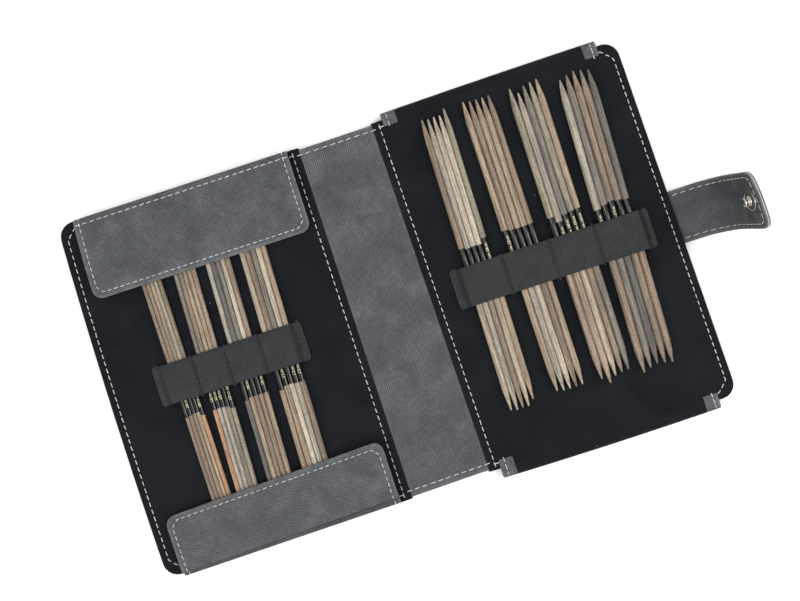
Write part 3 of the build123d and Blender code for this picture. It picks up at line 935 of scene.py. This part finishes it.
for name in side_of:
    low, high = box_mm(f"{name}_band")
    sets = needle_sizes(name)
    reach = (high[1] - low[1]) / 2
    between = []  # the rows of stitches between each two sets
    for (first, first_size), (second, second_size) in zip(sets, sets[1:]):
        outward = needles_in_set / 2 * (1 if second > first else -1)
        between.append((first + outward * first_size + second - outward * second_size) / 2)

    def band_shape(across, along, inset, kind):
        height = band_height(low[0] + along, sets, between, low[0], high[0])
        droop = 0.3 * step_between(np.abs(across), reach - 3, reach) * (height > 0.5)
        return height - droop + 0.1 * wander(across, along, 4.5, 2.2)

    place = flat(low[0], 1, top_z + band_thick + 0.06, square=True)
    run = (0, high[0] - low[0])
    band = sheet(
        f"{name}_band_soft", 0, reach, run, edge_rings(2.5, band_thick, edge=0.25), place, [leatherette],
        free=(1, 1, 1), corner=1.6, lift=band_shape, dense=[run],
    )
    finished(band, f"{name}_cover", "black_leatherette", f"{name}_band")

    # a row of stitches at each end and between each two sets, with thread ends left at both edges
    rows, tails = [], []
    rng = np.random.default_rng(12)
    for x in [low[0] + end_row, high[0] - end_row] + between:
        across = np.arange(-reach + 0.5, reach - 0.4, 0.7)
        along = np.full(len(across), x - low[0]) + 0.2 * np.sin(across)
        line = place(across, along, band_shape(across, along, 9.0, 0))
        rows.append(stitch_row(line, [(0, 0, 1)] * len(line), seed=int(x) % 50, **black_stitch))
        for end in (-1, 1):
            for _ in range(tails_left):
                turn, long = rng.uniform(-tail_turn, tail_turn), rng.uniform(*tail_long)
                start = line[0 if end < 0 else -1] + (rng.uniform(-tail_spread, tail_spread), 0, 0)
                way = (long * math.sin(turn), end * long * math.cos(turn), rng.uniform(-0.9, 0.3))
                up = [(0, 0, 1)] * 2
                tails.append(stitch_row([start, start + way], up, pitch=9, dash=long, width=0.36, rise=0.3))
    sewn(f"{name}_band_stitches", rows + tails, f"{name}_cover", "black_leatherette", black_thread)

# ------ needles
tones = {
    "c": srgb(180, 168, 149),  # cream
    "s": srgb(168, 154, 133),  # straw
    "t": srgb(154, 136, 114),  # tan
    "o": srgb(176, 136, 104),  # orange
    "r": srgb(146, 126, 112),  # rose
    "b": srgb(132, 115, 98),  # brown
    "g": srgb(120, 113, 103),  # grey
    "a": srgb(156, 148, 134),  # ash
    "d": srgb(96, 92, 87),  # dark grey
    "v": srgb(141, 134, 115),  # olive
}
needle_half = 152.4 / 2
taper = 12.0
tip_radius = 0.42
taper_power = 1.45  # 1 is a straight cone, and more is a fuller one
tip_round = 0.5  # length of the rounded point
lacquer_half = 8.5
lacquer_share = 0.96  # of the radius, in the lacquered middle
lathe_sides = 20
print_height = 1.7
print_length = 9.8
print_over = 0.015  # over the lacquer
print_shift = 0.6  # from the middle of the needle, along it


def needle_profile(radius):
    """(distance from the middle, radius) from the middle of a needle to its rounded point."""
    thin = radius * lacquer_share
    profile = [(0, thin), (lacquer_half - 0.15, thin), (lacquer_half + 0.1, radius)]
    profile += [(y, radius) for y in np.linspace(lacquer_half + 2, needle_half - taper, 9)]
    for share in np.linspace(0.08, 1, 12):
        swell = 1 - share**taper_power
        along = needle_half - taper + share * (taper - tip_round)
        profile.append((along, tip_radius + (radius - tip_radius) * swell))
    for q in np.radians((30, 60, 80)):
        profile.append((needle_half + tip_round * (math.sin(q) - 1), tip_radius * math.cos(q)))
    return profile


def needle(centre, radius, upper, lower):
    """Points, faces, tones and lacquer of one needle along Y."""
    side = needle_profile(radius)
    full = [(-y, r) for y, r in side[:0:-1]] + side
    points, tone, lacquer = [], [], []
    for y, r in full:
        for q in np.linspace(0, 2 * np.pi, lathe_sides, endpoint=False):
            points.append((centre[0] + r * math.sin(q), centre[1] + y, centre[2] + r * math.cos(q)))
            tone.append(upper if y > 0 else lower)
            lacquer.append(float(abs(y) < lacquer_half))
    ends = [tuple(range(lathe_sides))[::-1], tuple(range(len(points))[-lathe_sides:])]
    return points, tube_faces(len(full), lathe_sides) + ends, tone, lacquer


def printed_size(size, centre):
    """A needle's size printed twice along its lacquered middle, wrapped round it."""
    curve = bpy.data.curves.new("size_text", "FONT")
    curve.body = f"{size:.2f} mm   {size:.2f} mm"
    curve.size, curve.offset = print_height, 0.03
    curve.align_x, curve.align_y = "CENTER", "CENTER"
    letters = new_object("size_text", curve)
    made = evaluated_mesh(letters)
    stretch = print_length / (2 * max(vertex.co.x for vertex in made.vertices))
    over = size / 2 * lacquer_share + print_over
    points = []
    for vertex in made.vertices:
        q = vertex.co.y / (size / 2 * lacquer_share)
        y = centre[1] + print_shift + vertex.co.x * stretch
        points.append((centre[0] - over * math.sin(q), y, centre[2] + over * math.cos(q)))
    faces = [tuple(p.vertices) for p in made.polygons]
    bpy.data.objects.remove(letters)
    bpy.data.curves.remove(curve)
    bpy.data.meshes.remove(made)
    return points, faces


for name, (shift, turned, uppers, lowers, marked) in needle_sets.items():
    low, high = box_mm(name)
    size = high[2] - low[2]
    solid = np.array([v.co for v in frame["nodes"][name].data.vertices]) / MM
    parts, prints, tone, lacquer = [], [], [], []

    def lain(points, number):
        """A needle or its print where it lies."""
        points = np.array(points)
        points[:, 0] += shift + (number - 2) * (needle_gap - needle_spacing) + turned * points[:, 1]
        return points

    for i, (upper, lower) in enumerate(zip(uppers, lowers)):
        x = low[0] + size / 2 + i * (size + needle_spacing)
        own = solid[np.abs(solid[:, 0] - x) < (size + needle_spacing) / 2]
        centre = (x, (own[:, 1].min() + own[:, 1].max()) / 2, low[2] + size / 2)
        points, faces, more_tone, more_lacquer = needle(centre, size / 2, tones[upper], tones[lower])
        parts.append((lain(points, i), faces))
        tone += more_tone
        lacquer += more_lacquer
        if i in marked:
            letters, faces = printed_size(size, centre)
            prints.append((lain(letters, i), faces))
    held = {"tone": np.array(tone), "lacquer": np.array(lacquer)}
    needles = make_object(f"{name}_wood", *merged(parts), [wood], values=held)
    finished(needles, name, "laminated_birch", name)
    finished(make_object(f"{name}_print", *merged(prints), [gold]), name, "laminated_birch")

# ------ flaps
flap_thick = 1.9
fold_thick = 1.0  # round the fold
flap_hem = (7.4, 0.6)
flap_groove = 2.8
flap_cut = 3.0  # how far a row of stitches cuts off each of a leaf's corners
crease_from_end = 8.0  # of the lower left flap: its painted shade is darkest this far from its end
dense_from, fold_from = 85, 91  # Y where a flap's rows of points lie closer, and where its fold starts
flap_thread = {"pitch": 3.3, "dash": 2.2, "width": 0.4}
fold_thread = {"pitch": 3.3, "dash": 3.1, "width": 0.4}
leaf_meets_root = {"left": 6.6, "right": 3.7}  # Z
# where a leaf bends against its root, and a root against its cover: (0, Y, Z) from and to
flap_bends = {
    "left": (((0, 94.6, 8.2), (0, 92.0, 10.6)), ((0, 93.2, 4.0), (0, 94.6, 6.0))),
    "right": (((0, 95.6, 3.2), (0, 92.2, 1.4)), ((0, 90.6, 6.2), (0, 95.2, 5.0))),
}


def flap_lines(name):
    """A flap's outer (grey) face as lines in the YZ plane, at its low-X and its high-X side, from
    its free edge to its root, for the top flaps; the bottom ones are mirrored by the caller."""
    leaf_low, leaf_high = box_mm(f"{name}_outer")
    free = min(abs(leaf_low[1]), abs(leaf_high[1]))
    top = leaf_high[2]
    if name == "left_top_flap":
        line = [
            (free, top - 0.4), (free + 8, top), (64, top), (74, top - 0.2), (82, top - 0.7), (88, 9.6),
            (90.6, 9.3), (92.0, 8.9), (92.8, 8.0), (93.0, 6.6), (92.9, 5.0), (92.5, 3.9), (92.0, 3.6),
        ]
        return line, line
    if name == "left_bottom_flap":
        line = [
            (free + 1.9, top - 0.5), (free + 10, top), (77, top), (87.4, top + 0.2), (91.6, top - 0.1),
            (92.0, 9.9), (91.4, 9.5), (88.8, 9.4), (88.2, 9.0), (88.8, 8.6), (92.2, 8.5), (93.8, 8.0),
            (94.2, 6.6), (94.0, 4.8), (93.4, 3.9), (92.4, 3.6),
        ]
        other = [
            (free - 1.8, top - 0.5), (free + 8, top), (74, top), (84.2, top + 0.3), (88.4, top),
            (88.9, 10.0), (88.4, 9.5), (86.0, 9.4), (85.2, 9.0), (86.0, 8.6), (89.2, 8.5), (92.0, 8.1),
            (92.7, 7.2), (92.8, 5.2), (92.7, 4.0), (92.4, 3.6),
        ]
        return line, other
    # how far out the fold bulges, and how far in its end reaches over the lining
    shapes = {
        "right_top_flap": ((96.4, 91.1), (96.1, 89.6)),
        "right_bottom_flap": ((98.3, 89.9), (97.2, 90.8)),
    }
    lines = []
    for outermost, end in shapes[name]:
        out = outermost - fold_thick
        lines.append([
            (free, top), (free + 12, top), (86, top), (91.4, top), (out - 0.6, top + 0.1), (out, 2.6),
            (out, 4.0), (out - 0.5, 4.6), (end, 4.65), (end - 1.4, 4.5), (end - 2.5, 4.1), (end - 3.3, 3.6),
        ])
    return lines


def flap_points(x, y, z):
    return askew(np.stack([x, y, z], 1))


for name in ("left_top_flap", "left_bottom_flap", "right_top_flap", "right_bottom_flap"):
    side = name.split("_")[0]
    end = 1 if "top" in name else -1
    low, high = box_mm(f"{name}_outer")
    middle, half = (low[0] + high[0]) / 2, (high[0] - low[0]) / 2
    lines = [[(end * y, z) for y, z in line] for line in flap_lines(name)]
    bend = Bend(*lines, low[0], high[0], flap_points, flip=end, thins=fold_thick / flap_thick)
    at_fold = np.abs(bend.near[:, 0]) > fold_from
    split = bend.reach[np.argmin(np.abs(bend.near[:, 1] - leaf_meets_root[side]) + 100 * ~at_fold)]

    def reach_at(y):
        """Distance along the flap from its free edge to where its outer face comes to Y."""
        count = len(bend.near) * 2 // 3
        return np.interp(y, np.abs(bend.near[:count, 0]), bend.reach[:count])

    def painted_crease_shade(across, along):
        """Painted shade on the lower left flap: darkest just past where it is creased, fading outwards, and
        stronger towards its high-X side.
        """
        past = along - (bend.length - crease_from_end)
        strength = 0.7 + 0.25 * (across - middle + half) / (2 * half)
        return np.exp(-np.clip(past, 0, None) / 3.0) * step_between(past, -3.4, -2.6) * strength

    lower_left = name == "left_bottom_flap"
    settings = {
        "dense": [(reach_at(dense_from), bend.length)],
        "grain_turn": -12 if lower_left else 35,
        "shade": painted_crease_shade if lower_left else None,
        "step": 3.0,
    }
    rings = edge_rings(9, flap_thick, flap_groove, hem=flap_hem, lower=1)
    leaf_bend, root_bend = [[(x, end * y, z) for x, y, z in span] for span in flap_bends[side]]
    leaf_rides = (f"{name}_root", name, *leaf_bend)
    root_rides = (f"{side}_cover", f"{name}_root", *root_bend)
    faced = [leather, suede]  # grey outside and, between the turned hems, suede inside
    leaf = sheet(f"{name}_leaf", middle, half, (0, split), rings, bend, faced, **settings)
    root_run, root_free = (split, bend.length), (1, 0, 0)
    root = sheet(f"{name}_base", middle, half, root_run, rings, bend, faced, root_free, **settings)
    finished(leaf, leaf_rides, "grey_leather", f"{name}_outer", f"{name}_lining")
    finished(root, root_rides, "grey_leather", f"{name}_root")

    lane, cut = half - flap_groove, flap_groove + flap_cut
    half_row = [(middle - lane, split), (middle - lane, cut), (middle - half + cut, flap_groove)]
    round_leaf = mirrored(half_row, middle)
    rows = [
        placed_row(bend, round_leaf, -0.1, 1, seed=21, **flap_thread),
        placed_row(bend, round_leaf, -flap_thick, -1, seed=22, **flap_thread),
    ]
    if name == "left_top_flap":
        crossing = reach_at(edge_y - 3.6)
        rows.append(placed_row(bend, [(middle - half, crossing), (middle + half, crossing)], 0, 1, seed=23))
    sewn(f"{name}_leaf_stitches", rows, leaf_rides)
    rows = []
    for x in (middle - lane, middle + lane):
        for height, up in ((-0.1, 1), (-flap_thick, -1)):
            ends = [(x, split), (x, bend.length - 0.4)]
            rows.append(placed_row(bend, ends, height, up, seed=24, **fold_thread))
    sewn(f"{name}_base_stitches", rows, root_rides)

# ------ strap
strap_low, strap_high = box_mm("strap_anchor")
strap_half = (strap_high[1] - strap_low[1]) / 2
strap_mid = (strap_high[1] + strap_low[1]) / 2
strap_thick = 2.2
layer = 1.0
tip_corner = 4.4
tip_length = 22.0
tip_dent = 15.5  # from the strap's end to a shallow dent across it
strap_inset = 2.4  # of its stitches
strap_root = 5.6  # where its stitches start
strap_thread = {"width": 0.36, "dash": 2.8}
arch_radius, arch_start = 24.2, 4.0  # the arch's radius, and its slope where it starts
lean_from = 8.0  # height from which the strap leans towards the bottom edge
lean = math.tan(math.radians(5.1))
# in the XZ plane: the strap's two hinges, and its line from under the cover to its tip
pivots = [np.array(joints[name]["pos_m"])[[0, 2]] / MM for name in ("strap_lift", "strap_bend")]
lift_pivot, bend_pivot = pivots
slope = math.radians(arch_start)
arch_centre = lift_pivot + arch_radius * np.array([-math.sin(slope), math.cos(slope)])
spoke = bend_pivot - arch_centre
arch_end = math.atan2(spoke[0], -spoke[1])
heading = np.array([math.cos(arch_end), math.sin(arch_end)])
tucked = [lift_pivot + np.array([-5.2, -0.1]), lift_pivot + np.array([-2.5, -0.05])]
slopes = np.linspace(slope, arch_end, 9)
arch = [arch_centre + arch_radius * np.array([math.sin(q), -math.cos(q)]) for q in slopes]
upright = [bend_pivot + heading * d for d in (7.0, 14.0, tip_length)]
middle_line = tucked + arch + upright


def strap_points(y, x, z):
    """The strap leans as it rises, and its end turns a little."""
    over = np.clip(z - lean_from, 0, None)
    edge = (y - strap_mid) / strap_half
    x = x - 0.018 * edge * over - 0.9 * edge**2 * step_between(over, 4, 34)
    return np.stack([x, y - over * lean, z], 1)


strap_bend = Bend(middle_line, middle_line, strap_low[1], strap_high[1], strap_points)
strap_long = strap_bend.length
strap_cut = lengths_along(rounded(tucked + arch[:5]))[-1]  # middle of the arch


def strap_part(name, run, free, height, thick, material, groove=strap_inset, wider=0.0):
    """One layer of the strap, or part of it."""

    def shape(across, along, inset, kind):
        dent = -0.25 * np.exp(-(((along - strap_long + tip_dent) / 1.6) ** 2))
        return height + dent * (height > 0) + 0.06 * wander(across, along, 7, 5.5)

    return sheet(
        name, strap_mid, strap_half + wider, (run[0], run[1] + wider * free[2]),
        edge_rings(5.0, thick, groove, edge=0.42, depth=0.14), strap_bend, [material],
        free=free, corner=tip_corner, dense=[(0, strap_long)], grain_turn=55, lift=shape,
    )


lift_span = (lift_pivot[0] - 1.2, 0, 0), (lift_pivot[0] + 3.5, 0, 0)
bend_span = [(x, 0, z) for x, z in (bend_pivot - heading * 4.5, bend_pivot + heading * 3.0)]
lane, far = strap_half - strap_inset, strap_long - strap_inset
side_row = [(strap_mid - lane, strap_root), (strap_mid - lane, strap_cut)]
half_row = [(strap_mid - lane, strap_cut), (strap_mid - lane, far - 1.6), (strap_mid - lane + 1.6, far)]
# each part: its run, its free edges, what it rides on, the body it stands for, and its stitches
strap_parts = {
    "base": (
        (0, strap_cut), (1, 0, 0), ("right_cover", "strap", *lift_span), "strap",
        [side_row, mirrored(side_row, strap_mid)[:1:-1]],
    ),
    "end": (
        (strap_cut, strap_long), (1, 0, 1), ("strap", "strap_tip", *bend_span), "strap_tip",
        [mirrored(half_row, strap_mid)],
    ),
}
for part, (run, free, rides, node, lines) in strap_parts.items():
    for face, height in (("inner", strap_thick / 2), ("outer", layer - strap_thick / 2)):
        piece = strap_part(f"strap_{part}_{face}", run, free, height, layer, shaded_strap_leather)
        finished(piece, rides, "grey_leather", f"{node}_{face}")
    core = strap_part(f"strap_{part}_core", run, free, 0.15, 0.3, strap_core, None, 0.12)
    finished(core, rides, "grey_leather", *(["strap_anchor"] if part == "base" else []))
    rows = []
    for seed, facing in ((31, 1), (32, -1)):
        height = facing * (strap_thick / 2 - 0.06)
        rows += [placed_row(strap_bend, line, height, facing, seed=seed, **strap_thread) for line in lines]
    sewn(f"strap_{part}_stitches", rows, rides)


# ------ snap's stud: a ring, and a spool
def lathe(profile, centre, axis, sides=40):
    """Points and faces of a round piece from its outline as (radius, height along the axis)."""
    across = np.cross(axis, (0, 1, 0))
    across /= np.linalg.norm(across)
    third = np.cross(axis, across)
    points = []
    for radius, height in profile:
        for q in np.linspace(0, 2 * np.pi, sides, endpoint=False):
            points.append(centre + axis * height + radius * (across * math.cos(q) + third * math.sin(q)))
    return points, tube_faces(len(profile), sides)


stud_low, stud_high = box_mm("snap_stud")
stud_x, stud_z = bend_pivot + heading * (tip_length - 9.0)
stud_axis = np.array([-heading[1], 0, heading[0]])
stud_foot = np.array([stud_x, (stud_low[1] + stud_high[1]) / 2, stud_z]) + stud_axis * strap_thick / 2
ring = [(4.6 + 0.3 * math.cos(q), 0.02 + 0.3 * math.sin(q)) for q in np.radians(np.arange(0, 361, 30))]
spool = [
    (0.01, 0), (2.3, 0), (2.5, 0.3), (2.4, 0.65), (1.8, 0.95), (1.4, 1.25), (1.35, 1.8), (1.6, 2.1),
    (2.05, 2.3), (2.2, 2.55), (2.1, 2.85), (1.75, 3.15), (1.2, 3.42), (0.6, 3.56), (0.01, 3.6),
]
points, faces = merged([lathe(ring, stud_foot, stud_axis), lathe(spool, stud_foot, stud_axis)])
finished(make_object("snap_stud_bright", points, faces, [metal]), "strap_tip", "nickel_snap", "snap_stud")

# ------ metal as the CAD has it
for node in ("snap_cap", "snap_socket"):
    frame["nodes"][node].data.materials.clear()
    frame["nodes"][node].data.materials.append(metal)

# ------ boards, askew with their skins
hole_clear = 6.0  # round the snap's hole, where the board stays in its place
for node, body in (("left_board", "left_cover"), ("right_board", "right_cover"), ("spine_board", "spine")):
    solid = frame["nodes"][node].data
    square = np.array([v.co for v in solid.vertices]) / MM
    in_hole = np.linalg.norm(square[:, :2] - snap_hole[:2], axis=1) < hole_clear
    points = np.where(in_hole[:, None], square, askew(square.copy()))
    faces = [tuple(p.vertices) for p in solid.polygons]
    finished(make_object(f"{node}_askew", points, faces, [board]), body, "stiffener_board", node)

# ------ floor, light and camera
floor_half = 2500
floor_z = -0.3
floor_corners = [(floor_half * x, floor_half * y, floor_z) for x, y in ((-1, -1), (1, -1), (1, 1), (-1, 1))]
floor_white = plain_tone("floor_white", 0.75, 3.0, 2, 0.5, (0.92, 0.92, 0.92, 1), (0.94, 0.94, 0.94, 1))
make_object("floor", floor_corners, [(0, 1, 2, 3)], [floor_white])

world = bpy.data.worlds.new("studio")
bpy.context.scene.world = world
world.use_nodes = True
sky = world.node_tree.nodes["Background"].inputs
sky["Color"].default_value = (1.0, 1.0, 1.0, 1.0)
sky["Strength"].default_value = 0.86


def softbox(name, place, width, length, power):
    """A long area light that shines on the middle of the case. Its place is in metres."""
    data = bpy.data.lights.new(name, "AREA")
    data.shape, data.size, data.size_y, data.energy = "RECTANGLE", width, length, power
    lamp = new_object(name, data)
    lamp.location = place
    lamp.rotation_euler = (-Vector(place)).to_track_quat("-Z", "Y").to_euler()


softbox("key", (-1.1, -0.65, 1.5), 0.5, 1.8, 20.0)
softbox("fill", (0.75, 0.05, 0.85), 0.3, 1.2, 6.0)

camera = new_object("camera", bpy.data.cameras.new("camera"))
camera.data.sensor_width = 36.0
camera.data.lens = 35.83
camera.data.clip_start = 0.01
camera.location = (-7.3 * MM, 4.9 * MM, 406.3 * MM)
camera.rotation_euler = [math.radians(angle) for angle in (-0.17, 0.09, -18.09)]
bpy.context.scene.camera = camera
bpy.context.scene.view_settings.view_transform = "Standard"
